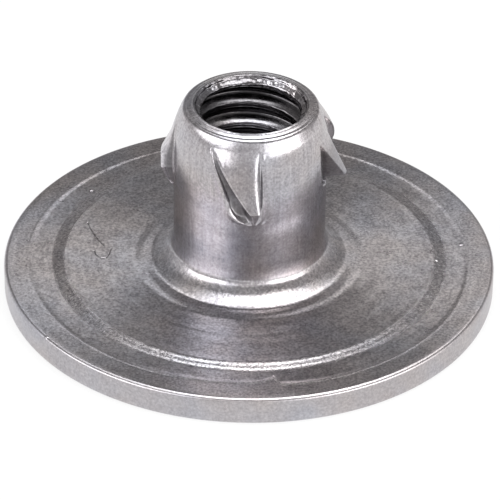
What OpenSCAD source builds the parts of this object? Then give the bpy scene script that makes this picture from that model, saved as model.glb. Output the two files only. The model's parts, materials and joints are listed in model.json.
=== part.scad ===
// Round-base tee nut, cold-formed in one piece: a round flange with pressed rings,
// a drawn barrel with a plain bore at the thread's minor diameter, and slanting barbs
// ploughed up out of the barrel's wall.
// Origin: centre of the flange's flat underside. +Z runs up the barrel to its mouth.
// Lengths are in millimetres and angles in degrees.

/* [Flange] */
// Diameter of the round flange
flange_d = 26; // [22:0.5:40]
// Height of the outer band above the underside
rim_h = 1.45; // [1:0.05:2.4]
// Rounding radius of the rim's top edge
rim_top_r = 0.25; // [0.05:0.05:0.5]
// Rounding radius of the rim's bottom edge
rim_bottom_r = 0.1; // [0.05:0.05:0.4]

/* [Pressed rings] */
// Width of the flat outer band, from the rim to the fine step
outer_band_w = 1.45; // [0.8:0.05:2]
// Width of the fine step
fine_step_w = 0.05; // [0.02:0.01:0.1]
// Drop at the fine step
fine_step_drop = 0.04; // [0:0.01:0.1]
// Width of the shelf inside the fine step
shelf_w = 0.97; // [0.5:0.01:1.5]
// Rise across the shelf
shelf_rise = 0.13; // [0:0.01:0.3]
// Width of the ramp between the shelf and the dish's crest
ramp_w = 0.66; // [0.4:0.02:1.2]
// Rise of the ramp
ramp_rise = 0.2; // [0.05:0.01:0.4]
// Width of the dish's level floor, outside the foot ring
dish_floor_w = 1.3; // [0.5:0.05:1.8]
// Depth of the dish below the crest
dish_depth = 0.18; // [0:0.01:0.3]

/* [Barrel] */
// Outside diameter of the barrel
barrel_d = 8; // [7.2:0.1:10]
// Height of the whole nut, from the underside to the mouth
nut_h = 11; // [9:0.1:20]
// Length of the barrel's nose, where it curves in to the mouth
nose_len = 1.86; // [0.6:0.02:3]
// Width of the flat lip round the mouth
lip_w = 0.54; // [0.3:0.02:0.6]
// Width of the foot ring round the barrel
foot_w = 2; // [1.8:0.05:3]
// Width of the bevel round the foot ring
foot_bevel_w = 0.15; // [0.05:0.05:0.3]
// Height of the foot ring above the dish
foot_h = 0.07; // [0.02:0.01:0.2]
// Radius of the fillet between the foot ring and the barrel
foot_fillet_r = 1.3; // [0.5:0.05:1.5]

/* [Thread bore] */
// Diameter of the bore, the minor diameter of the thread
bore_d = 5.2; // [3:0.05:5.6]
// Width of the countersink at the mouth
mouth_bevel_w = 0.3; // [0.1:0.02:0.4]
// Depth of the countersink at the mouth
mouth_bevel_h = 0.45; // [0.1:0.05:1]
// Rounding radius of the bore's edge on the underside
draw_r = 0.8; // [0.2:0.05:1.2]

/* [Barbs] */
// Angle of each barb's tip round the barrel, counter-clockwise from -Y
barb_angles = [1, 83, 122, 171, 220, 269];
// Distance from the mouth down to where the barbs start
barb_start = 0.65; // [0.5:0.05:2]
// Height of a barb from its start down to its tip
barb_len = 3.05; // [2:0.05:3.6]
// Distance that the tip stands out from the barrel
barb_rise = 1.02; // [0.4:0.02:1.4]
// Angle that the free edge turns through from its start to its tip
barb_sweep = 31; // [20:1:34]
// Angle from the tip on to the barb's upright edge
barb_back = 4; // [3:0.5:7]
// Angle at the wall that the barb's cut side covers below its tip
cut_side = 9; // [5:0.5:12]
// Height of the hollow that the barb was ploughed from, below the tip
hollow_foot = 1.2; // [0.5:0.05:1.5]
// Angle that the hollow covers beside the start of the free edge
hollow_start = 2; // [1:0.5:4]
// Angle that the hollow covers beside the tip
hollow_tip = 18; // [12:1:20]
// Depth of the hollow in the barrel's wall
hollow_depth = 0.3; // [0.1:0.02:0.36]

/* [Hidden] */
$fn = 96;

flange_r = flange_d / 2;
barrel_r = barrel_d / 2;
bore_r = bore_d / 2;
mouth_r = bore_r + mouth_bevel_w;

// Heights and radii of the pressed rings, from the rim inward
step_outer_r = flange_r - outer_band_w;
step_inner_r = step_outer_r - fine_step_w;
ramp_outer_r = step_inner_r - shelf_w;
ramp_inner_r = ramp_outer_r - ramp_w;
foot_r = barrel_r + foot_w;
dish_r = foot_r + dish_floor_w;
step_z = rim_h - fine_step_drop;
ramp_low_z = step_z + shelf_rise;
ramp_top_z = ramp_low_z + ramp_rise;
dish_z = ramp_top_z - dish_depth;
foot_z = dish_z + foot_h;

// The nose is an arc that leaves the barrel's wall upright and ends at the lip
nose_z = nut_h - nose_len;
nose_in = barrel_r - mouth_r - lip_w;
nose_r = (nose_in * nose_in + nose_len * nose_len) / (2 * nose_in);

// Overlap that joins solids cleanly
join = 0.05;
// Depth to which a barb is rooted in the barrel's wall, below the hollow
barb_root = 0.2;
// Height above the wall that the hollow's cutter clears, and where its floor runs out
cutter_top = 0.3;
hollow_out = 0.1;
// Part of the barb's length over which the hollow reaches its full depth, and part of its
// foot over which it runs out again
hollow_run = 0.9;
hollow_end_run = 0.4;
// Squared size of the foot's round, just over 1 so that the foot never closes to a point
foot_round = 1.02;
// Steps along a barb: down its free edge, from its tip to its foot, and across its face
edge_steps = 10;
foot_steps = 5;
face_steps = 8;
// Power of the face's fall from the free edge to the upright edge
face_power = 7;
// Power of the tail's fall from the tip to its foot
tail_power = 4;
// Angle past the tip at which the tail meets the barrel
tail_angle = 2;

// Radius of the barrel's wall at height z
function wall_r(z) =
    z <= nose_z ? barrel_r : barrel_r - nose_r + sqrt(nose_r * nose_r - (z - nose_z) * (z - nose_z));

// A barb's station as [height, free edge's angle, upright edge's angle, cut side's angle, rise]:
// t runs down the free edge to the tip, s runs on from the tip to the foot of the tail
function edge_station(t) =
    [
        nut_h - barb_start - t * barb_len,
        -barb_sweep * (1 - t),
        barb_back,
        -barb_sweep * (1 - t) - (hollow_start + t * (cut_side - hollow_start)),
        barb_rise * t
    ];
function tail_station(s) =
    [
        nut_h - barb_start - barb_len - s * hollow_foot,
        tail_angle * s,
        tail_angle + (barb_back - tail_angle) * sqrt(foot_round - s * s),
        tail_angle * s - cut_side * (1 - s) - 1,
        barb_rise * pow(1 - s, tail_power)
    ];
barb_stations = concat(
    [for (i = [0 : edge_steps]) edge_station(i / edge_steps)],
    [for (i = [1 : foot_steps]) tail_station(i / foot_steps)]
);

// A hollow's station as [height, outer edge's angle, inner edge's angle, floor's height]
function hollow_station(t) =
    [
        nut_h - barb_start - t * barb_len,
        -barb_sweep * (1 - t) - hollow_start - t * (hollow_tip - hollow_start),
        -barb_sweep * (1 - t),
        hollow_out - (hollow_out + hollow_depth) * min(1, t / hollow_run)
    ];
function hollow_end_station(s) =
    [
        nut_h - barb_start - barb_len - s * hollow_foot,
        tail_angle * s - hollow_tip * sqrt(foot_round - s * s),
        tail_angle * s,
        hollow_out - (hollow_out + hollow_depth) * min(1, (1 - s) / hollow_end_run)
    ];
hollow_stations = concat(
    [for (i = [0 : edge_steps]) hollow_station(i / edge_steps)],
    [for (i = [1 : foot_steps]) hollow_end_station(i / foot_steps)]
);

// A point at an angle counter-clockwise from -Y
function round_point(radius, angle, z) = [radius * sin(angle), -radius * cos(angle), z];

// The closed loop of points round one of a barb's stations: out along its face, back along
// its root
function barb_loop(s) =
    let (r = wall_r(s[0]), root = r - hollow_depth - barb_root)
    concat(
        [
            for (k = [0 : face_steps])
            let (u = k / face_steps)
            round_point(r - join + s[4] * (1 - pow(u, face_power)), s[1] + (s[2] - s[1]) * u, s[0])
        ],
        [
            for (k = [face_steps : -1 : 0])
            round_point(root, s[3] + (s[2] - s[3]) * k / face_steps, s[0])
        ]
    );

// The closed loop of points round one of a hollow's stations: out along its top, back along
// its floor
function hollow_loop(s) =
    let (
        r = wall_r(s[0]),
        w = s[2] - s[1],
        floor_points = [[0.12, s[3] / 2], [0.4, s[3]], [0.7, s[3]], [1, s[3]]],
        last = len(floor_points) - 1
    )
    concat(
        [for (k = [0 : last]) round_point(r + cutter_top, s[1] + w * k / last, s[0])],
        [
            for (k = [last : -1 : 0])
            let (p = floor_points[k])
            round_point(r + p[1], s[1] + w * p[0], s[0])
        ]
    );

// Flange section, with its rounded rim and pressed rings
module flange_profile() {
    polygon([
        [0, 0],
        [flange_r - rim_bottom_r, 0],
        [flange_r - rim_bottom_r, rim_bottom_r],
        [flange_r, rim_bottom_r],
        [flange_r, rim_h - rim_top_r],
        [flange_r - rim_top_r, rim_h - rim_top_r],
        [flange_r - rim_top_r, rim_h],
        [step_outer_r, rim_h],
        [step_inner_r, step_z],
        [ramp_outer_r, ramp_low_z],
        [ramp_inner_r, ramp_top_z],
        [dish_r, dish_z],
        [foot_r, dish_z],
        [foot_r - foot_bevel_w, foot_z],
        [0, foot_z]
    ]);
    translate([flange_r - rim_bottom_r, rim_bottom_r]) circle(rim_bottom_r);
    translate([flange_r - rim_top_r, rim_h - rim_top_r]) circle(rim_top_r);
}

// Barrel section: an upright wall, the curved nose and the fillet at its foot
module barrel_profile() {
    square([barrel_r, nose_z]);
    intersection() {
        square([barrel_r, nut_h]);
        translate([barrel_r - nose_r, nose_z]) circle(nose_r, $fn = 4 * $fn);
    }
    difference() {
        translate([barrel_r - join, foot_z - join]) square(foot_fillet_r + join);
        translate([barrel_r + foot_fillet_r, foot_z + foot_fillet_r]) circle(foot_fillet_r);
    }
}

// Bore section: the plain bore, its countersink at the mouth and its drawn edge below
module bore_profile() {
    translate([0, -join]) square([bore_r, nut_h + 2 * join]);
    polygon([
        [0, nut_h - mouth_bevel_h],
        [bore_r, nut_h - mouth_bevel_h],
        [mouth_r, nut_h],
        [mouth_r, nut_h + join],
        [0, nut_h + join]
    ]);
    difference() {
        translate([0, -join]) square([bore_r + draw_r, draw_r + join]);
        translate([bore_r + draw_r, draw_r]) circle(draw_r);
    }
}

// The turned form: everything that is round about the axis
module turned_form() {
    rotate_extrude() difference() {
        union() {
            flange_profile();
            barrel_profile();
        }
        bore_profile();
    }
}

// A solid through a row of closed loops. Each runs out along one side and back along the
// other, with as many points on both.
module lofted(loops) {
    n = len(loops[0]);
    last = len(loops) - 1;
    sides = [
        for (i = [0 : last - 1], k = [0 : n - 1])
        let (a = i * n + k, b = i * n + (k + 1) % n)
        each [[a, b, a + n], [b, b + n, a + n]]
    ];
    caps = [
        for (k = [0 : n / 2 - 2])
        let (a = k, b = k + 1, c = n - 2 - k, d = n - 1 - k, e = last * n)
        each [[a, d, b], [b, d, c], [e + a, e + b, e + d], [e + b, e + c, e + d]]
    ];
    polyhedron(points = [for (loop = loops) each loop], faces = concat(sides, caps));
}

// The hollow in the barrel's wall that one barb was ploughed from
module hollow() {
    lofted([for (s = hollow_stations) hollow_loop(s)]);
}

// One barb, its tip towards -Y: a flap that leans out on its way down, cut free along its
// slanting edge, with an upright edge on the other side and a short tail below its tip
module barb() {
    lofted([for (s = barb_stations) barb_loop(s)]);
}

module tee_nut() {
    color([0.56, 0.54, 0.53]) union() {
        difference() {
            turned_form();
            for (angle = barb_angles) rotate([0, 0, angle]) hollow();
        }
        for (angle = barb_angles) rotate([0, 0, angle]) barb();
    }
}

tee_nut();
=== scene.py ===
import json
import math
from collections import namedtuple

import bpy
import numpy as np
from mathutils import Matrix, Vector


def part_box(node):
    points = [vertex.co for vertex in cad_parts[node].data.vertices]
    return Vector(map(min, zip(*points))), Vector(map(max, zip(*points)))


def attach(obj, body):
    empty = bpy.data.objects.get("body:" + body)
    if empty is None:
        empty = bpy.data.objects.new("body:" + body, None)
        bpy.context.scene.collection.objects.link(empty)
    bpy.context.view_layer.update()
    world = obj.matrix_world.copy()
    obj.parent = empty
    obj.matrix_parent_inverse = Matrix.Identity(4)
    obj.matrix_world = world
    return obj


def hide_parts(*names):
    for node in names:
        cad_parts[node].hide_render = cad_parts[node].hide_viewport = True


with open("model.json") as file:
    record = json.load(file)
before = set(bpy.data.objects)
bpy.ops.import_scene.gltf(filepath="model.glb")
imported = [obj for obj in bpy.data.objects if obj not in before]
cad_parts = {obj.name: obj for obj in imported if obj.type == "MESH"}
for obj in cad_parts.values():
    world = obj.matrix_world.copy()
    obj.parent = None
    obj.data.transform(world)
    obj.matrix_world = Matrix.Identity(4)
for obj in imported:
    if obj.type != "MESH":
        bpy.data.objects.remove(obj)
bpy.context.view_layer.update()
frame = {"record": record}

# The tee nut is one closed mesh of rings and columns round the axis, in the CAD frame: underside
# at z = 0, +Z up the barrel, first barb towards -Y. Lengths are in mm unless a comment says
# otherwise, angles in degrees counter-clockwise from -Y, and spans run from none to full.

MM = 0.001
NODE = "tee_nut"
BOX_LO, BOX_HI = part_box(NODE)
FLANGE_R = (BOX_HI.x - BOX_LO.x) / 2 / MM
NUT_H = BOX_HI.z / MM
THREAD = next(m for m in frame["record"]["mounts"] if m["name"] == "thread")
BORE_R = THREAD["dims"]["r_mm"]

# Rim, and the fine step inside its outer band
RIM_H = 1.45
RIM_TOP_R = 0.21
RIM_BOTTOM_R = 0.1
RIM_SIDE_Z = 0.3
BAND_W = 1.45
STEP_R = FLANGE_R - BAND_W
STEP_DROP = 0.04

# Rows of the mesh under the flange, round the rim's edges, up its side and across the shelf
UNDERSIDE_ROWS = 8
RIM_BOTTOM_ROWS = 3
RIM_SIDE_ROWS = 4
RIM_TOP_ROWS = 7
SHELF_ROWS = 6

# Inner edge of the shelf, and the top of the foot ring
SHELF_R = 10.50
SHELF_Z = 1.42
FOOT_Z = 1.63

# Slope of the ramp inside the shelf, as radius and degrees up towards the barrel
RAMP = [
    (10.50, 2.0), (10.40, 10.5), (10.33, 14.3), (10.23, 12.8), (10.14, 10.8), (10.06, 12.5),
    (9.96, 14.8), (9.87, 11.0), (9.79, 4.0), (9.72, -2.0), (9.58, -3.0), (9.46, 0.0),
]
RAMP_STEP = 0.045

# Path of the fine burr at the step, as angle, radius and share of its height; it turns in to
# a cusp at the front
BURR_PATH = [
    (-180, 11.66, 0.15), (-135, 11.72, 0.35), (-113, 11.76, 0.6), (-90, 11.74, 0.7),
    (-58, 11.70, 0.9), (-30, 11.62, 1.2), (-10, 11.52, 1.2), (1, 11.46, 1.2),
    (4.5, 11.36, 1.3), (6.5, 11.16, 1.4), (7.4, 10.98, 1.6), (8.0, 11.64, 1.3),
    (12, 11.74, 1.3), (22, 11.78, 1.3), (50, 11.74, 0.9), (80, 11.70, 0.3), (180, 11.66, 0.15),
]
BURR_RISE = 0.016

# Rows across the burr: offset from it, shares of the step's drop and of the burr's rise, and
# how closely the row follows the burr's path
BURR_ROWS = [
    (1.0, 0.0, 0.0, 0.0), (0.7, 0.0, 0.0, 0.3), (0.4, 0.0, 0.0, 0.6), (0.2, 0.0, 0.0, 0.9),
    (0.14, 0.0, 0.0, 1.0), (0.09, 0.0, 0.27, 1.0), (0.04, 0.0, 0.8, 1.0), (0.0, 0.0, 1.0, 1.0),
    (-0.04, 0.0, 0.7, 1.0), (-0.10, 0.1, 0.0, 1.0), (-0.17, 0.6, 0.0, 1.0),
    (-0.24, 0.92, 0.0, 1.0), (-0.30, 1.0, 0.0, 1.0),
]

# Dish: its inner radius, the step between its rows, and its faint pressed rings as radius,
# width and height
DISH_IN = 6.15
DISH_STEP = 0.1
RIPPLES = [(8.15, 0.14, 0.004), (7.62, 0.10, -0.004), (7.36, 0.09, 0.005), (6.75, 0.16, -0.003)]

# Foot ring's outer side, as radius and height above the dish, and its rounded top and the
# barrel's fillet, as radius and height above the ring's top
FOOT_SIDE = [(6.1, 0.0), (6.02, 0.008), (5.9, 0.03)]
FOOT_TOP = [(5.75, -0.014), (5.62, -0.001), (5.5, 0.0)]
FILLET = [
    (5.30, 0.0), (5.20, 0.007), (5.10, 0.032), (5.00, 0.0755), (4.90, 0.13), (4.80, 0.189),
    (4.70, 0.25), (4.60, 0.316), (4.50, 0.393), (4.42, 0.462), (4.34, 0.54), (4.25, 0.63),
    (4.16, 0.73), (4.09, 0.84), (4.03, 0.99), (4.0, 1.22),
]

# Barrel, with a nose that curves in by NOSE_IN to the lip, and a drawn round edge where the
# bore meets the underside
BARREL_R = 4.0
NOSE_LEN = 1.86
NOSE_IN = 0.56
NOSE_Z = NUT_H - NOSE_LEN
NOSE_R = (NOSE_IN ** 2 + NOSE_LEN ** 2) / (2 * NOSE_IN)
DRAW_R = 0.8
DRAW_ROWS = 8

# Rounded lip and countersink, as radius and height from the mouth
MOUTH = [
    (3.46, -0.10), (3.40, -0.085), (3.34, -0.08), (3.28, -0.07), (3.25, -0.05), (3.20, -0.038),
    (3.16, -0.02), (3.08, -0.008), (3.00, 0.0), (2.94, -0.01), (2.90, -0.05), (2.88, -0.12),
    (2.86, -0.18), (2.82, -0.22), (2.73, -0.275), (2.65, -0.325), (2.61, -0.38),
]

# Thread, 20 turns to the inch. From the middle of its groove (0) to its crest (1), the groove
# runs out over GROOVE_SPAN, and the seam that roll forming leaves deepens over SEAM_SPAN
PITCH = 1.27
MAJOR_R = 3.175
THREAD_DEPTH = MAJOR_R - BORE_R
THREAD_START = 0.215
THREAD_TOP = NUT_H - 0.45
GROOVE_SPAN = (0.086, 0.9976)
SEAM_SPAN = (0.84, 0.96)
SEAM_DEPTH = 0.09
# Lengths over which the thread fades in above the drawn edge, and out below the mouth
FADE_LOW = 0.6
FADE_TOP = 0.25
# Heights between the bore's rows: fine down to BORE_SEEN, where the mouth shows them
BORE_FINE = 0.055
BORE_COARSE = 0.2
BORE_SEEN = 7.4

# Painted shade in the plating's colour: by height up the barrel's wall, at the thread's root
# and crest, half way between them on the countersink, and by height in the bore. SHADE_SPAN is
# the depth below the mouth over which the bore's painted shade sets in
WALL_SHADE = [(2.2, 1.0), (2.9, 0.86), (4.2, 0.86), (5.2, 1.0)]
ROOT_SHADE = 0.25
CREST_SHADE = 0.85
MOUTH_DEPTH = 0.5
TURN_SHADE = [(8.6, 1.0), (9.1, 0.5), (10.3, 0.5), (10.5, 1.0)]
SHADE_SPAN = (0.3, 0.45)

# A barb: angle of its tip, angle its free edge sweeps, distance from the mouth to its start,
# its length and foot, angles of its hollow at start and tip, how far it stands out, the power
# and full share of its lean, the power of its tail, and its painted light and shade: a factor
# on the colour of its face and flank, a painted highlight above 1 and painted shade below 1
Barb = namedtuple("Barb", "tip sweep start length foot hollow0 hollow1 reach lean full tail bright")
BARBS = [
    Barb(1.0, 31.0, 0.65, 3.05, 1.20, 2.0, 18.0, 1.00, 1.30, 1.00, 5.0, 1.0),
    Barb(83.0, 17.0, 1.45, 2.41, 0.55, 1.0, 14.0, 1.05, 1.00, 1.00, 6.0, 0.72),
    Barb(122.0, 31.0, 0.65, 3.05, 1.20, 2.0, 18.0, 1.12, 1.00, 1.00, 3.0, 1.0),
    Barb(171.0, 31.0, 0.65, 3.05, 1.20, 2.0, 18.0, 1.00, 1.20, 1.00, 4.0, 1.0),
    Barb(220.0, 31.0, 0.65, 3.05, 1.20, 2.0, 18.0, 1.00, 1.20, 1.00, 4.0, 1.0),
    Barb(269.0, 31.0, 0.65, 3.05, 1.25, 2.0, 18.0, 0.68, 2.20, 0.75, 0.7, 1.4),
]
BARB_TOP = NUT_H - min(b.start for b in BARBS)
BARB_LOW = min(NUT_H - b.start - b.length - b.foot for b in BARBS)

# Angles from a barb's tip to its upright edge, and to the free edge's end at the foot
BARB_BACK = 6.0
TAIL_ANGLE = 2.0
FOOT_ROUND = 1.02

# Section across a hollow and flank: share across, share of the depth, share of the lift
FLANK = [
    (0.0, 0.0, 0.0), (0.06, 0.35, 0.0), (0.14, 0.9, 0.0), (0.3, 1.0, 0.0), (0.62, 1.0, 0.0),
    (0.74, 0.4, 0.2), (0.88, 0.0, 0.84), (1.0, 0.0, 1.0),
]
# Depth of a hollow, share of the barb's length where it is full, and span of the foot's end
# over which it runs out
HOLLOW_DEPTH = 0.3
HOLLOW_FULL = 0.9
HOLLOW_END = (0.0, 0.35)
# Fine burr on the rim of a hollow, and the shares of the flank and the gap that it covers
EDGE_BURR = 0.05
BURR_IN_FLANK = 0.08
BURR_IN_GAP = (0.9, 1.0)
# Section across a barb's face: it drops at the upright edge, and has a fine groove by its
# free edge with a depth, place and width
FACE_POWER = 26
FACE_GROOVE = 0.02
FACE_GROOVE_AT = 0.1
FACE_GROOVE_WIDE = 0.04
# Section beside the upright edge: degrees past it, and height
SIDE = [
    (0.0, -0.03), (0.8, -0.05), (1.6, -0.01), (2.6, 0.035), (3.6, 0.03), (4.6, -0.01),
    (5.6, -0.015), (7.0, 0.0),
]
# Spans of a barb's length and foot over which its small forms grow in and run out
FORM_START = (0.0, 0.15)
FORM_END = (0.85, 1.0)

# Painted shade on a barb's sheared edge and in its hollow, and their spans down and across the barb
EDGE_SHADE = 0.4
HOLLOW_SHADE = 0.5
SHEAR_START = (0.05, 0.3)
SHEAR_END = (0.0, 0.3)
EDGE_SPAN = (0.93, 0.97)
HOLLOW_NEAR = (0.04, 0.16)
HOLLOW_FAR = (0.95, 1.0)

# Columns round the axis for each barb: across its flank, its face and its side, and the angle
# between those in the gap to the next barb
FLANK_COLUMNS = 14
FACE_PLACES = (0.0, 0.08, 0.16, 0.3, 0.45, 0.6, 0.75, 0.86, 0.92, 0.955, 0.975, 0.99)
SIDE_COLUMNS = 9
SIDE_ANGLE = 7.0
SIDE_SHARE = 0.6
GAP_STEP = 2.3
GAP_LEAST = 4

# Rows up the barrel: to EVEN_Z, where the columns start to turn, on to the barbs, and up the
# nose above them to just below the lip
EVEN_DROP = 1.5
EVEN_Z = BARB_LOW - EVEN_DROP
FOOT_ROWS = 4
WALL_ROWS = 8
BARB_STEP = 0.05
NOSE_ROWS = 5
LIP_DROP = 0.16

# Noise in the plating, as scale, detail and roughness. RINGS and STREAKS run round the axis,
# the first with RINGS_TURN to the radian, the second with STREAKS_TURN to the radian and
# STREAKS_RISE to the mm of height; the others have their scale in features to the metre
GRAIN = (7500.0, 3.0, 0.65)
MOTTLE = (1300.0, 2.0, 0.6)
PATCHES = (420.0, 2.0, 0.6)
TINTS = (240.0, 2.0, 0.6)
TORN = (700.0, 3.0, 0.55)
RINGS = (2.2, 6.0, 0.7)
RINGS_TURN = 0.8
STREAKS = (1.0, 4.0, 0.65)
STREAKS_TURN = 22.0
STREAKS_RISE = 0.3
# Angle, in radians from +X, where noise round the axis starts to fade into the turn's start
TURN_FADE = 2.6
# The value that noise lies round
MIDDLE = 0.5

# Greys of the plating by tone, share of each noise in the tone, and cool and warm tints
GREYS = [(0.38, (0.29, 0.278, 0.292)), (0.5, (0.48, 0.463, 0.482)), (0.62, (0.67, 0.655, 0.67))]
GRAIN_TONE = 0.75
MOTTLE_TONE = 0.15
PATCHES_TONE = 0.10
RINGS_TONE = 0.22
STREAKS_TONE = 0.22
TINT = [(0.36, (0.965, 0.985, 1.02)), (0.64, (1.035, 0.995, 0.96))]

# Heights over which the flange's finish turns into the barrel's, share of the grain that
# shows on the barrel, and the same for the rim by radius
FINISH_TURN = (1.8, 2.6)
BARREL_GRAIN = 0.5
RIM_TURN = (12.6, 12.9)
RIM_GRAIN = 0.4

# Roughness of the pressed flange and the drawn barrel, and how much mottling adds
FLANGE_ROUGH = 0.255
BARREL_ROUGH = 0.18
MOTTLE_ROUGH = 0.06
ANISOTROPY = 0.85
# How much rougher the sheared faces are; they are those darker than SHEARED_SHADE, outside
# the radius SHEARED_FROM
SHEARED_ROUGH = 0.25
SHEARED_SHADE = (0.9, 0.4)
SHEARED_FROM = (3.3, 3.5)
# The ramp's burnished band: middle radius, span of distances from it, and the share of
# roughness it loses
BURNISH_R = 10.14
BURNISH_SPAN = (0.4, 0.2)
BURNISH = 0.35

# Marks on the disc, as points in plan: a scratch, the curl below it, and small raised specks;
# they are only above DISC_TOP
SCRATCH = [(-8.71, 2.95), (-8.56, 2.46), (-8.38, 1.98), (-8.08, 1.31), (-7.74, 0.74)]
CURL = [
    (-8.25, 0.24), (-8.13, -0.13), (-7.85, -0.41), (-7.58, -0.41), (-7.44, -0.11),
    (-7.35, 0.46),
]
SPECKS = [(11.32, 1.56), (-8.67, 6.43), (9.98, -0.16), (-10.40, -7.64)]
SCRATCH_WIDE = 0.06
SCRATCH_DARK = 0.45
SCRATCH_DEEP = 0.4
SPECK_WIDE = 0.16
DISC_TOP = (1.1, 1.3)

# Torn plate in the mouth: inside a radius and above a height, dark where its noise is low
TORN_R = (3.1, 2.95)
TORN_Z = (9.8, 10.4)
TORN_LOW = (0.54, 0.46)
TORN_DARK = 0.5

# Heights of the finish, the marks and the torn plate, and what the finish is made of
FINISH_HIGH = 0.03
FINISH_STRENGTH = 0.4
MARK_HIGH = 0.04
TORN_HIGH = 0.42
RINGS_BUMP = 0.6
GRAIN_BUMP = 0.3
MOTTLE_BUMP = 0.5

# Camera, with its target and distance in units of the flange's radius
CAM_ELEVATION = 33.648
CAM_ROLL = 0.75
CAM_TARGET = (0.0036, 0.0, 0.1461)
CAM_DISTANCE = 16.0
CAM_LENS = 282.1
CAM_SENSOR = 36.0
# Clipping distances in metres
CAM_NEAR = 0.01
CAM_FAR = 50.0

# Floor: half its width and its height in metres, its colour, and the share of plain white
# that the camera sees on it
FLOOR_HALF = 1.5
FLOOR_Z = -0.00002
FLOOR_COLOUR = (0.85, 0.85, 0.85, 1)
FLOOR_WHITE = 0.8

# The studio round the nut: greys from straight below (0) to straight above (1) and their
# tint, and a darker side behind the nut
STUDIO = [(0.0, 0.95), (0.5, 0.75), (0.56, 0.62), (0.75, 0.6), (0.86, 0.36), (1.0, 0.36)]
STUDIO_TINT = (1.0, 0.985, 0.99)
BACK_SHADE = 0.5
BACK_SPAN = (0.1, 0.8)

# Soft lights: azimuth from the camera's side, to the right positive, elevation, then distance,
# width and height in metres, radiance, and shift sideways in metres
LIGHTS = {
    "overhead": (90, 83, 0.5, 0.47, 0.48, 2.95, 0.035),
    "front_left": (-60, 26, 0.6, 0.62, 0.30, 2.25, 0.0),
    "front_right": (53, 14, 0.6, 0.60, 0.32, 2.35, 0.0),
}


def smooth(x, span):
    """0 before a span, 1 after it, and an even S between."""
    t = np.clip((np.asarray(x, float) - span[0]) / (span[1] - span[0]), 0.0, 1.0)
    return t * t * (3 - 2 * t)


def along(table, x, column=1):
    """Value in a table of rows at x, straight between rows."""
    return float(np.interp(x, [row[0] for row in table], [row[column] for row in table]))


def arc(cx, cz, r, a0, a1, n):
    """n + 1 points of an arc in the (radius, height) plane, from a0 to a1 degrees."""
    return [
        (cx + r * math.cos(math.radians(a)), cz + r * math.sin(math.radians(a)))
        for a in np.linspace(a0, a1, n + 1)
    ]


def line(p, q, n):
    """n points from p up to, but not including, q."""
    return [(p[0] + (q[0] - p[0]) * k / n, p[1] + (q[1] - p[1]) * k / n) for k in range(n)]


def ring(r, z, angles, shade=1.0):
    """One ring of points and their shade at the given angles."""
    a = np.radians(angles)
    r, z, shade = (np.broadcast_to(np.asarray(v, float), a.shape) for v in (r, z, shade))
    return np.stack([r * np.sin(a), -r * np.cos(a), z, shade], 1)


def wall_r(z):
    """Radius of the barrel's wall at height z."""
    up = np.clip(z - NOSE_Z, 0.0, NOSE_R)
    return BARREL_R - NOSE_R + np.sqrt(NOSE_R ** 2 - up ** 2)


def barb_place(barb, z):
    """How far height z is along a barb's free edge (t) and its foot (s), each 0 to 1."""
    start = NUT_H - barb.start
    t = float(np.clip((start - z) / barb.length, 0.0, 1.0))
    s = float(np.clip((start - barb.length - z) / barb.foot, 0.0, 1.0))
    return t, s


def barb_edges(barb, z):
    """Angles of a barb's hollow edge, free edge and upright edge at height z."""
    t, s = barb_place(barb, z)
    ridge = -barb.sweep * (1 - t) + TAIL_ANGLE * s
    rounding = math.sqrt(FOOT_ROUND - s * s) if s > 0 else 1.0
    width = barb.hollow0 + t * (barb.hollow1 - barb.hollow0)
    back = TAIL_ANGLE + (BARB_BACK - TAIL_ANGLE) * rounding
    return barb.tip + ridge - width * rounding, barb.tip + ridge, barb.tip + back


def barb_height(barb, part, u, z):
    """How far the wall stands out (or in) at a column of a barb, at height z."""
    t, s = barb_place(barb, z)
    live = float(smooth(t, FORM_START)) * (1 - float(smooth(s, FORM_END)))
    lift = barb.reach * min(1.0, t / barb.full) ** barb.lean * (1 - s) ** barb.tail
    if part == "flank":
        deep = HOLLOW_DEPTH * min(1.0, t / HOLLOW_FULL) * float(smooth(1 - s, HOLLOW_END))
        burr = EDGE_BURR * live * max(0.0, 1 - u / BURR_IN_FLANK)
        return burr - deep * along(FLANK, u) + lift * along(FLANK, u, 2)
    if part == "face":
        groove = FACE_GROOVE * live * math.exp(-((u - FACE_GROOVE_AT) / FACE_GROOVE_WIDE) ** 2)
        drop = u ** FACE_POWER
        return lift * (1 - drop) - groove + live * SIDE[0][1] * drop
    if part == "side":
        return live * along(SIDE, u * SIDE_ANGLE)
    return EDGE_BURR * live * float(smooth(u, BURR_IN_GAP))


def barb_shade(barb, part, u, z):
    """Painted light and shade on a barb at a column; its sheared edge and hollow get painted shade.
    """
    t, s = barb_place(barb, z)
    if part not in ("face", "flank") or t <= 0 or s >= 1:
        return 1.0
    live = float(smooth(t, SHEAR_START)) * float(smooth(1 - s, SHEAR_END))
    # painted light and shade of this barb, full on its sheared faces
    bright = 1 - (1 - barb.bright) * live
    if part == "face":
        return bright * (1 - (1 - EDGE_SHADE) * live * float(smooth(u, EDGE_SPAN)))
    deep = float(smooth(u, HOLLOW_NEAR)) * (1 - float(smooth(u, HOLLOW_FAR)))
    return bright * (1 - (1 - HOLLOW_SHADE) * deep * live)


def column_plan():
    """For each column its barb, its part of that barb and its place across that part."""
    plan = []
    for i, barb in enumerate(BARBS):
        after = BARBS[(i + 1) % len(BARBS)]
        gap = (after.tip - after.hollow1 - barb.tip - BARB_BACK) % 360 - SIDE_ANGLE
        steps = max(GAP_LEAST, round(gap / GAP_STEP))
        plan += [(i, "flank", k / FLANK_COLUMNS) for k in range(FLANK_COLUMNS)]
        plan += [(i, "face", u) for u in FACE_PLACES]
        plan += [(i, "side", k / SIDE_COLUMNS) for k in range(SIDE_COLUMNS)]
        plan += [(i, "gap", k / steps) for k in range(steps)]
    return plan


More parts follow.
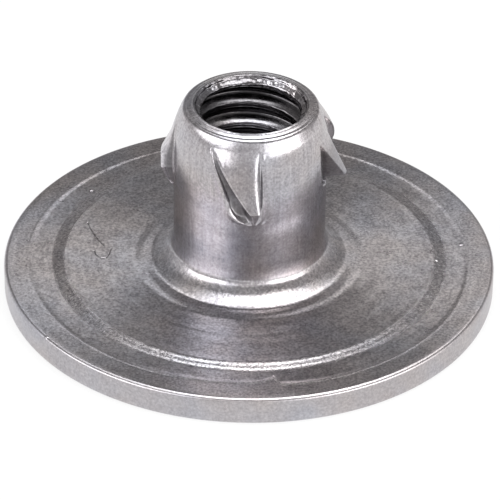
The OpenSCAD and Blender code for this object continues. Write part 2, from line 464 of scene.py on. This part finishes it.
def column_angles(plan, z):
    """The angle of each column at height z: along the barbs' edges, and even away from them."""
    even = 1 - float(smooth(z, (EVEN_Z, BARB_LOW))) + float(smooth(z, (BARB_TOP, NUT_H)))
    edges = []
    for barb in BARBS:
        rest = (barb.tip - barb.hollow1, barb.tip, barb.tip + BARB_BACK)
        edges.append([e + (r - e) * even for e, r in zip(barb_edges(barb, z), rest)])
    angles = np.empty(len(plan))
    for c, (i, part, u) in enumerate(plan):
        low, ridge, back = edges[i]
        end = edges[(i + 1) % len(BARBS)][0] + (360 if i + 1 == len(BARBS) else 0)
        beside = back + min(SIDE_ANGLE, (end - back) * SIDE_SHARE)
        spans = {"flank": (low, ridge), "face": (ridge, back), "side": (back, beside)}
        a, b = spans.get(part, (beside, end))
        angles[c] = a + (b - a) * u
    return angles


def rim_rows():
    """Section points from the bore's drawn edge below, round the rim, to the outer band."""
    rows = line((BORE_R + DRAW_R, 0.0), (FLANGE_R - RIM_BOTTOM_R, 0.0), UNDERSIDE_ROWS)
    rows += arc(FLANGE_R - RIM_BOTTOM_R, RIM_BOTTOM_R, RIM_BOTTOM_R, -90, 0, RIM_BOTTOM_ROWS)
    rows += line((FLANGE_R, RIM_SIDE_Z), (FLANGE_R, RIM_H - RIM_TOP_R), RIM_SIDE_ROWS)
    rows += arc(FLANGE_R - RIM_TOP_R, RIM_H - RIM_TOP_R, RIM_TOP_R, 0, 90, RIM_TOP_ROWS)
    return rows


def step_rings(angles):
    """The rings over the burr and fine step, which follow its path, and across the shelf."""
    turned = (np.asarray(angles) + 180) % 360 - 180
    at = [row[0] for row in BURR_PATH]
    path = np.interp(turned, at, [row[1] for row in BURR_PATH])
    share = np.interp(turned, at, [row[2] for row in BURR_PATH])
    rings = []
    for offset, drop, rise, follow in BURR_ROWS:
        z = RIM_H - drop * STEP_DROP + rise * share * BURR_RISE
        rings.append(ring(STEP_R + offset + (path - STEP_R) * follow, z, angles))
    outer = path + BURR_ROWS[-1][0]
    outer_z = RIM_H - STEP_DROP
    for k in range(1, SHELF_ROWS):
        r = outer + (SHELF_R - outer) * k / SHELF_ROWS
        rings.append(ring(r, outer_z + (SHELF_Z - outer_z) * k / SHELF_ROWS, angles))
    return rings


def ripple(r):
    """Height of the faint pressed rings in the dish."""
    return sum(high * math.exp(-((r - at) / wide) ** 2) for at, wide, high in RIPPLES)


def dish_rows():
    """Section points from the shelf over the ramp, dish and foot ring to the barrel's wall."""
    rows = [(SHELF_R, SHELF_Z)]
    while rows[-1][0] > RAMP[-1][0]:
        r, z = rows[-1]
        slope = math.radians(along(RAMP[::-1], r - RAMP_STEP / 2))
        rows.append((r - RAMP_STEP, z + RAMP_STEP * math.tan(slope)))
    dish_r, dish_z = rows[-1]
    rows += [(r, dish_z + ripple(r)) for r in np.arange(dish_r - DISH_STEP, DISH_IN, -DISH_STEP)]
    rows += [(r, dish_z + z) for r, z in FOOT_SIDE]
    return rows + [(r, FOOT_Z + z) for r, z in FOOT_TOP + FILLET]


def barrel_heights():
    """Heights of the rows up the barrel's wall and nose."""
    foot = np.linspace(FOOT_Z + FILLET[-1][1], EVEN_Z, FOOT_ROWS + 1)[1:]
    wall = np.linspace(EVEN_Z, BARB_LOW - BARB_STEP, WALL_ROWS + 1)[1:]
    barbs = np.arange(BARB_LOW, BARB_TOP + 2 * BARB_STEP, BARB_STEP)
    nose = np.linspace(barbs[-1], NUT_H - LIP_DROP, NOSE_ROWS + 1)[1:]
    return np.concatenate([foot, wall, barbs, nose])


def barrel_rings(plan):
    """The rings up the outside of the barrel, with its barbs."""
    rings = []
    for z in barrel_heights():
        rise = np.array([barb_height(BARBS[i], part, u, z) for i, part, u in plan])
        shade = np.array([barb_shade(BARBS[i], part, u, z) for i, part, u in plan])
        # painted shade on the barrel's wall, darker by height
        shade = shade * along(WALL_SHADE, z)
        rings.append(ring(wall_r(z) + rise, z, column_angles(plan, z), shade))
    return rings


def bore_shade(z, depth):
    """Painted shade in the bore at height z and a share of the thread's depth."""
    painted_shade = (CREST_SHADE + (ROOT_SHADE - CREST_SHADE) * depth) * along(TURN_SHADE, z)
    return 1 - (1 - painted_shade) * float(smooth(NUT_H - z, SHADE_SPAN))


def mouth_rings(angles):
    """The rings over the lip and down the countersink."""
    rows = [(r, NUT_H + z) for r, z in MOUTH]
    return [ring(r, z, angles, bore_shade(z, MOUTH_DEPTH)) for r, z in rows]


def thread_depth(z, angles):
    """Depth of the thread's groove and seam beyond the bore at height z, at each angle."""
    phase = ((z + THREAD_START) / PITCH - angles / 360.0) % 1.0
    v = np.abs(phase - 0.5) * 2
    return THREAD_DEPTH * (1 - smooth(v, GROOVE_SPAN)) + SEAM_DEPTH * smooth(v, SEAM_SPAN)


def bore_rings(angles):
    """The rings down the threaded bore and round the drawn edge at its foot."""
    fine = np.arange(THREAD_TOP, BORE_SEEN, -BORE_FINE)
    coarse = np.linspace(BORE_SEEN, DRAW_R, round((BORE_SEEN - DRAW_R) / BORE_COARSE) + 1)
    rings = []
    for z in np.concatenate([fine, coarse]):
        fade = float(smooth(z, (DRAW_R, DRAW_R + FADE_LOW)))
        fade = fade * (1 - float(smooth(z, (THREAD_TOP - FADE_TOP, THREAD_TOP))))
        depth = thread_depth(z, angles) * fade
        rings.append(ring(BORE_R + depth, z, angles, bore_shade(z, depth / THREAD_DEPTH)))
    draw = arc(BORE_R + DRAW_R, DRAW_R, DRAW_R, 180, 270, DRAW_ROWS)
    return rings + [ring(r, z, angles) for r, z in draw[1:-1]]


def nut_rings():
    """All rings of the nut, in order round its section."""
    plan = column_plan()
    still = column_angles(plan, EVEN_Z)
    rings = [ring(r, z, still) for r, z in rim_rows()]
    rings += step_rings(still)
    rings += [ring(r, z, still) for r, z in dish_rows()]
    rings += barrel_rings(plan)
    rings += mouth_rings(still)
    return rings + bore_rings(still)


def closed_mesh(name, rings):
    """A closed mesh through rings of equal length, the last joined to the first."""
    n = len(rings[0])
    points = np.concatenate(rings)
    faces = []
    for j in range(len(rings)):
        a = j * n
        b = (j + 1) % len(rings) * n
        faces += [(a + k, a + (k + 1) % n, b + (k + 1) % n, b + k) for k in range(n)]
    mesh = bpy.data.meshes.new(name)
    mesh.from_pydata((points[:, :3] * MM).tolist(), [], faces)
    mesh.validate()
    # the shade attribute: painted light and shade that the material multiplies into the colour
    mesh.attributes.new("shade", "FLOAT", "POINT").data.foreach_set("value", points[:, 3])
    mesh.polygons.foreach_set("use_smooth", [True] * len(mesh.polygons))
    mesh.update()
    return mesh


def add_object(name, data):
    """A new object in the scene."""
    made = bpy.data.objects.new(name, data)
    bpy.context.scene.collection.objects.link(made)
    return made


def node(tree, kind, **inputs):
    """A shader node with its inputs set: a value, or a socket to link from."""
    made = tree.nodes.new(kind)
    for key, value in inputs.items():
        socket = made.inputs[int(key[1:]) if key[0] == "i" and key[1:].isdigit() else key]
        if isinstance(value, bpy.types.NodeSocket):
            tree.links.new(value, socket)
        else:
            socket.default_value = value
    return made


def maths(tree, operation, a, b=0.0, c=0.0):
    """A number worked out from up to three others."""
    made = node(tree, "ShaderNodeMath", i0=a, i1=b, i2=c)
    made.operation = operation
    return made.outputs[0]


def vector_maths(tree, operation, a, b=(0.0, 0.0, 0.0)):
    """A vector, length or dot product worked out from one or two vectors."""
    made = node(tree, "ShaderNodeVectorMath", i0=a, i1=b)
    made.operation = operation
    return made.outputs["Value" if operation in ("LENGTH", "DOT_PRODUCT") else "Vector"]


def scaled(tree, value, share):
    """A vector times a number."""
    made = node(tree, "ShaderNodeVectorMath", i0=value, i3=share)
    made.operation = "SCALE"
    return made.outputs[0]


def vector(tree, x, y, z=0.0):
    """A vector of three numbers."""
    return node(tree, "ShaderNodeCombineXYZ", X=x, Y=y, Z=z).outputs[0]


def total(tree, *parts):
    """The sum of numbers, each times its share."""
    made = None
    for value, share in parts:
        part = maths(tree, "MULTIPLY", value, share)
        made = maths(tree, "ADD", made, part) if made else part
    return made


def mapped(tree, value, span, ends):
    """A value between two ends, straight over a span and level outside it."""
    made = node(
        tree, "ShaderNodeMapRange", Value=value, i1=span[0], i2=span[1], i3=ends[0], i4=ends[1]
    )
    return made.outputs[0]


def eased(tree, value, span):
    """0 before a span, 1 after it, and an even S between; the span may run downwards."""
    made = node(tree, "ShaderNodeMapRange", Value=value, i1=span[0], i2=span[1])
    made.interpolation_type = "SMOOTHSTEP"
    return made.outputs[0]


def ramp(tree, fac, stops):
    """Colours by position, straight between stops."""
    made = node(tree, "ShaderNodeValToRGB", Fac=fac)
    elements = made.color_ramp.elements
    for element, (position, colour) in zip(elements, (stops[0], stops[-1])):
        element.position = position
        element.color = (*colour, 1)
    for position, colour in stops[1:-1]:
        elements.new(position).color = (*colour, 1)
    return made.outputs[0]


def noise(tree, place, scale, detail, roughness):
    """Noise at a place, round MIDDLE."""
    made = node(
        tree, "ShaderNodeTexNoise", Vector=place, Scale=scale, Detail=detail,
        Roughness=roughness,
    )
    return made.outputs["Fac"]


def round_noise(tree, angle, place_at, settings):
    """Noise round the axis without a seam: the end of the turn fades into its start."""
    here = noise(tree, place_at(angle), *settings)
    start = noise(tree, place_at(maths(tree, "SUBTRACT", angle, 2 * math.pi)), *settings)
    fade = eased(tree, angle, (TURN_FADE, math.pi))
    return maths(tree, "MULTIPLY_ADD", maths(tree, "SUBTRACT", start, here), fade, here)


def level_length(tree, x, y):
    """Length of a vector's level part."""
    squares = maths(tree, "ADD", maths(tree, "MULTIPLY", x, x), maths(tree, "MULTIPLY", y, y))
    return maths(tree, "SQRT", squares)


def to_stroke(tree, plan, points):
    """Distance in plan to the nearest part of a stroke through the points."""
    nearest = None
    for a, b in zip(points, points[1:]):
        run = (b[0] - a[0], b[1] - a[1], 0.0)
        reach = vector_maths(tree, "SUBTRACT", plan, (*a, 0.0))
        dot = vector_maths(tree, "DOT_PRODUCT", reach, run)
        share = maths(tree, "DIVIDE", dot, run[0] ** 2 + run[1] ** 2)
        share = node(tree, "ShaderNodeClamp", Value=share).outputs[0]
        away = vector_maths(tree, "SUBTRACT", reach, scaled(tree, run, share))
        off = vector_maths(tree, "LENGTH", away)
        nearest = maths(tree, "MINIMUM", nearest, off) if nearest else off
    return nearest


def to_specks(tree, plan):
    """Distance in plan to the nearest speck."""
    nearest = None
    for x, y in SPECKS:
        away = vector_maths(tree, "SUBTRACT", plan, (x, y, 0.0))
        off = vector_maths(tree, "LENGTH", away)
        nearest = maths(tree, "MINIMUM", nearest, off) if nearest else off
    return nearest


# What the plating's colour, roughness and bump share: where the point is, the noises there,
# how strongly its grain, the marks on top of the disc and the torn mouth show, and its painted
# light and shade
Plate = namedtuple(
    "Plate", "place z radius angle rings grain mottle torn grainy top scratch speck mouth shade"
)


def disc_marks(tree, plan, top):
    """How strongly the scratch and the specks show."""
    stroke = maths(tree, "MINIMUM", to_stroke(tree, plan, SCRATCH), to_stroke(tree, plan, CURL))
    scratch = eased(tree, stroke, (SCRATCH_WIDE, 0.0))
    speck = eased(tree, to_specks(tree, plan), (SPECK_WIDE, 0.0))
    return maths(tree, "MULTIPLY", scratch, top), maths(tree, "MULTIPLY", speck, top)


def plate_at(tree):
    """The plating's shared values at a point."""
    place = node(tree, "ShaderNodeTexCoord").outputs["Object"]
    x, y, z = node(tree, "ShaderNodeSeparateXYZ", Vector=scaled(tree, place, 1 / MM)).outputs
    radius = level_length(tree, x, y)
    angle = maths(tree, "ARCTAN2", y, x)

    def turned(at):
        return vector(tree, radius, maths(tree, "MULTIPLY", at, RINGS_TURN), z)

    on_flange = mapped(tree, z, FINISH_TURN, (1.0, BARREL_GRAIN))
    on_top = mapped(tree, radius, RIM_TURN, (1.0, RIM_GRAIN))
    top = eased(tree, z, DISC_TOP)
    scratch, speck = disc_marks(tree, vector(tree, x, y), top)
    # painted light and shade, from the mesh's shade attribute
    shade = node(tree, "ShaderNodeAttribute")
    shade.attribute_name = "shade"
    return Plate(
        place=place,
        z=z,
        radius=radius,
        angle=angle,
        rings=round_noise(tree, angle, turned, RINGS),
        grain=noise(tree, place, *GRAIN),
        mottle=noise(tree, place, *MOTTLE),
        torn=noise(tree, place, *TORN),
        grainy=maths(tree, "MULTIPLY", on_flange, on_top),
        top=top,
        scratch=scratch,
        speck=speck,
        mouth=maths(tree, "MULTIPLY", eased(tree, radius, TORN_R), eased(tree, z, TORN_Z)),
        shade=shade.outputs["Fac"],
    )


def plate_tone(tree, plate):
    """Light and dark in the plating: grain, mottling, forming rings and drawing streaks."""
    patches = noise(tree, plate.place, *PATCHES)
    tone = total(
        tree, (plate.grain, GRAIN_TONE), (plate.mottle, MOTTLE_TONE), (patches, PATCHES_TONE),
        (maths(tree, "SUBTRACT", plate.rings, MIDDLE), RINGS_TONE),
    )
    tone = maths(tree, "SUBTRACT", tone, MIDDLE)
    tone = maths(tree, "MULTIPLY_ADD", tone, plate.grainy, MIDDLE)

    def upright(at):
        across = maths(tree, "MULTIPLY", at, STREAKS_TURN)
        return vector(tree, across, maths(tree, "MULTIPLY", plate.z, STREAKS_RISE))

    streaks = round_noise(tree, plate.angle, upright, STREAKS)
    streaks = maths(tree, "MULTIPLY", maths(tree, "SUBTRACT", streaks, MIDDLE), STREAKS_TONE)
    on_wall = eased(tree, plate.z, FINISH_TURN)
    return maths(tree, "MULTIPLY_ADD", streaks, on_wall, tone)


def plate_colour(tree, plate):
    """Grey by tone, tinted, darker in the scratch and torn mouth, with the painted light and shade.
    """
    colour = ramp(tree, plate_tone(tree, plate), GREYS)
    tint = ramp(tree, noise(tree, plate.place, *TINTS), TINT)
    colour = vector_maths(tree, "MULTIPLY", colour, tint)
    dirt = maths(tree, "MULTIPLY", eased(tree, plate.torn, TORN_LOW), plate.mouth)
    dark = maths(tree, "MULTIPLY_ADD", plate.scratch, -SCRATCH_DARK, 1.0)
    dark = maths(tree, "MULTIPLY", dark, maths(tree, "MULTIPLY_ADD", dirt, -TORN_DARK, 1.0))
    return scaled(tree, colour, maths(tree, "MULTIPLY", plate.shade, dark))


def plate_roughness(tree, plate):
    """Smoother on the barrel and the burnished ramp, rougher on the sheared faces."""
    rough = mapped(tree, plate.z, FINISH_TURN, (FLANGE_ROUGH, BARREL_ROUGH))
    rough = maths(tree, "ADD", rough, maths(tree, "MULTIPLY", plate.mottle, MOTTLE_ROUGH))
    sheared = eased(tree, plate.shade, SHEARED_SHADE)
    sheared = maths(tree, "MULTIPLY", sheared, eased(tree, plate.radius, SHEARED_FROM))
    rough = maths(tree, "MULTIPLY_ADD", sheared, SHEARED_ROUGH, rough)
    off = maths(tree, "ABSOLUTE", maths(tree, "SUBTRACT", plate.radius, BURNISH_R))
    burnish = maths(tree, "MULTIPLY", eased(tree, off, BURNISH_SPAN), plate.top)
    return maths(tree, "MULTIPLY", rough, maths(tree, "MULTIPLY_ADD", burnish, -BURNISH, 1.0))


def plate_normal(tree, plate):
    """Bump of the finish, then of the marks on the disc, then of the torn mouth."""
    finish = total(
        tree, (plate.rings, RINGS_BUMP), (plate.grain, GRAIN_BUMP), (plate.mottle, MOTTLE_BUMP)
    )
    finish = maths(tree, "MULTIPLY", finish, plate.grainy)
    marks = maths(tree, "MULTIPLY", plate.scratch, SCRATCH_DEEP)
    marks = maths(tree, "SUBTRACT", plate.speck, marks)
    torn = maths(tree, "MULTIPLY", plate.torn, plate.mouth)
    bump = node(
        tree, "ShaderNodeBump", Height=finish, Strength=FINISH_STRENGTH,
        Distance=FINISH_HIGH * MM,
    )
    for height, high in ((marks, MARK_HIGH), (torn, TORN_HIGH)):
        bump = node(
            tree, "ShaderNodeBump", Height=height, Strength=1.0, Distance=high * MM,
            Normal=bump.outputs[0],
        )
    return bump.outputs[0]


def zinc_material():
    """Satin zinc plate, brushed round the axis."""
    mat = bpy.data.materials.new("zinc_plate")
    mat.use_nodes = True
    tree = mat.node_tree
    bsdf = tree.nodes["Principled BSDF"]
    bsdf.inputs["Metallic"].default_value = 1.0
    bsdf.inputs["Anisotropic"].default_value = ANISOTROPY
    bsdf.inputs["Anisotropic Rotation"].default_value = 0.0
    tangent = node(tree, "ShaderNodeTangent")
    tangent.direction_type = "RADIAL"
    tangent.axis = "Z"
    plate = plate_at(tree)
    tree.links.new(plate_colour(tree, plate), bsdf.inputs["Base Color"])
    tree.links.new(plate_roughness(tree, plate), bsdf.inputs["Roughness"])
    tree.links.new(plate_normal(tree, plate), bsdf.inputs["Normal"])
    tree.links.new(tangent.outputs[0], bsdf.inputs["Tangent"])
    return mat


def make_nut():
    """The nut, in the place of its CAD node."""
    nut = add_object("tee_nut_formed", closed_mesh("tee_nut_formed", nut_rings()))
    nut.data.materials.append(zinc_material())
    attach(nut, "root")
    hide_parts(NODE)


def axes_matrix(right, up, back, place):
    """A matrix from three axes and a place."""
    turn = [[right[k], up[k], back[k], place[k]] for k in range(3)]
    return Matrix(turn + [[0, 0, 0, 1]])


def make_camera():
    """The camera, at the photograph's angle."""
    elevation = math.radians(CAM_ELEVATION)
    roll = math.radians(CAM_ROLL)
    unit = FLANGE_R * MM
    back = np.array([0.0, -math.cos(elevation), math.sin(elevation)])
    up = np.array([0.0, math.sin(elevation), math.cos(elevation)])
    right = np.array([1.0, 0.0, 0.0])
    place = (np.array(CAM_TARGET) + back * CAM_DISTANCE) * unit
    rolled_right = math.cos(roll) * right + math.sin(roll) * up
    rolled_up = -math.sin(roll) * right + math.cos(roll) * up
    data = bpy.data.cameras.new("camera")
    data.lens = CAM_LENS
    data.sensor_width = CAM_SENSOR
    data.clip_start = CAM_NEAR
    data.clip_end = CAM_FAR
    camera = add_object("camera", data)
    camera.matrix_world = axes_matrix(rolled_right, rolled_up, back, place)
    bpy.context.scene.camera = camera


def show_white(tree, lit):
    """Adds plain white to the floor's shader: a share for the camera, so its shadow stays."""
    path = node(tree, "ShaderNodeLightPath")
    camera = maths(tree, "MULTIPLY", path.outputs["Is Camera Ray"], FLOOR_WHITE)
    seen = maths(tree, "MAXIMUM", camera, path.outputs["Is Glossy Ray"])
    white = node(tree, "ShaderNodeEmission", Strength=1.0).outputs[0]
    return node(tree, "ShaderNodeMixShader", Fac=seen, i1=lit, i2=white).outputs[0]


def make_floor():
    """The pale floor under the nut."""
    mesh = bpy.data.meshes.new("floor")
    corners = [(-1, -1), (1, -1), (1, 1), (-1, 1)]
    points = [(x * FLOOR_HALF, y * FLOOR_HALF, FLOOR_Z) for x, y in corners]
    mesh.from_pydata(points, [], [(0, 1, 2, 3)])
    floor = add_object("floor", mesh)
    mat = bpy.data.materials.new("floor")
    mat.use_nodes = True
    tree = mat.node_tree
    tree.nodes.clear()
    lit = node(tree, "ShaderNodeBsdfDiffuse", Color=FLOOR_COLOUR).outputs[0]
    node(tree, "ShaderNodeOutputMaterial", Surface=show_white(tree, lit))
    mesh.materials.append(mat)


def studio_colour(tree):
    """The studio's grey in each direction: lighter towards the horizon, darker behind."""
    way = node(tree, "ShaderNodeTexCoord").outputs["Generated"]
    x, y, z = node(tree, "ShaderNodeSeparateXYZ", Vector=way).outputs
    height = maths(tree, "MULTIPLY_ADD", z, 0.5, 0.5)
    grey = ramp(tree, height, [(p, [v * t for t in STUDIO_TINT]) for p, v in STUDIO])
    ahead = maths(tree, "DIVIDE", y, level_length(tree, x, y))
    lo, hi = BACK_SPAN
    shade = ramp(tree, ahead, [(lo, [1.0] * 3), (hi, [BACK_SHADE] * 3)])
    return vector_maths(tree, "MULTIPLY", grey, shade)


def make_world():
    """White to the camera, and a grey studio to the nut."""
    world = bpy.data.worlds.new("studio")
    bpy.context.scene.world = world
    world.use_nodes = True
    tree = world.node_tree
    tree.nodes.clear()
    path = node(tree, "ShaderNodeLightPath")
    colour = studio_colour(tree)
    studio = node(tree, "ShaderNodeBackground", Color=colour, Strength=1.0).outputs[0]
    white = node(tree, "ShaderNodeBackground", Color=(1, 1, 1, 1), Strength=1.0).outputs[0]
    camera = path.outputs["Is Camera Ray"]
    mix = node(tree, "ShaderNodeMixShader", Fac=camera, i1=studio, i2=white)
    node(tree, "ShaderNodeOutputWorld", Surface=mix.outputs[0])


def softbox(name, azimuth, elevation, distance, width, height, radiance, side):
    """A rectangular light facing the nut. Its power is 4 times its radiance times its area."""
    data = bpy.data.lights.new(name, "AREA")
    data.shape = "RECTANGLE"
    data.size = width
    data.size_y = height
    data.energy = radiance * 4 * width * height
    a = math.radians(azimuth)
    e = math.radians(elevation)
    way = np.array([math.sin(a) * math.cos(e), -math.cos(a) * math.cos(e), math.sin(e)])
    across = np.array([math.cos(a), math.sin(a), 0.0])
    lamp = add_object(name, data)
    place = way * distance + across * side
    lamp.matrix_world = axes_matrix(across, np.cross(way, across), way, place)


def make_lights():
    """The soft lights of the studio."""
    for name, settings in LIGHTS.items():
        softbox(name, *settings)


make_camera()
make_world()
make_floor()
make_lights()
make_nut()
bpy.context.scene.view_settings.view_transform = "Standard"
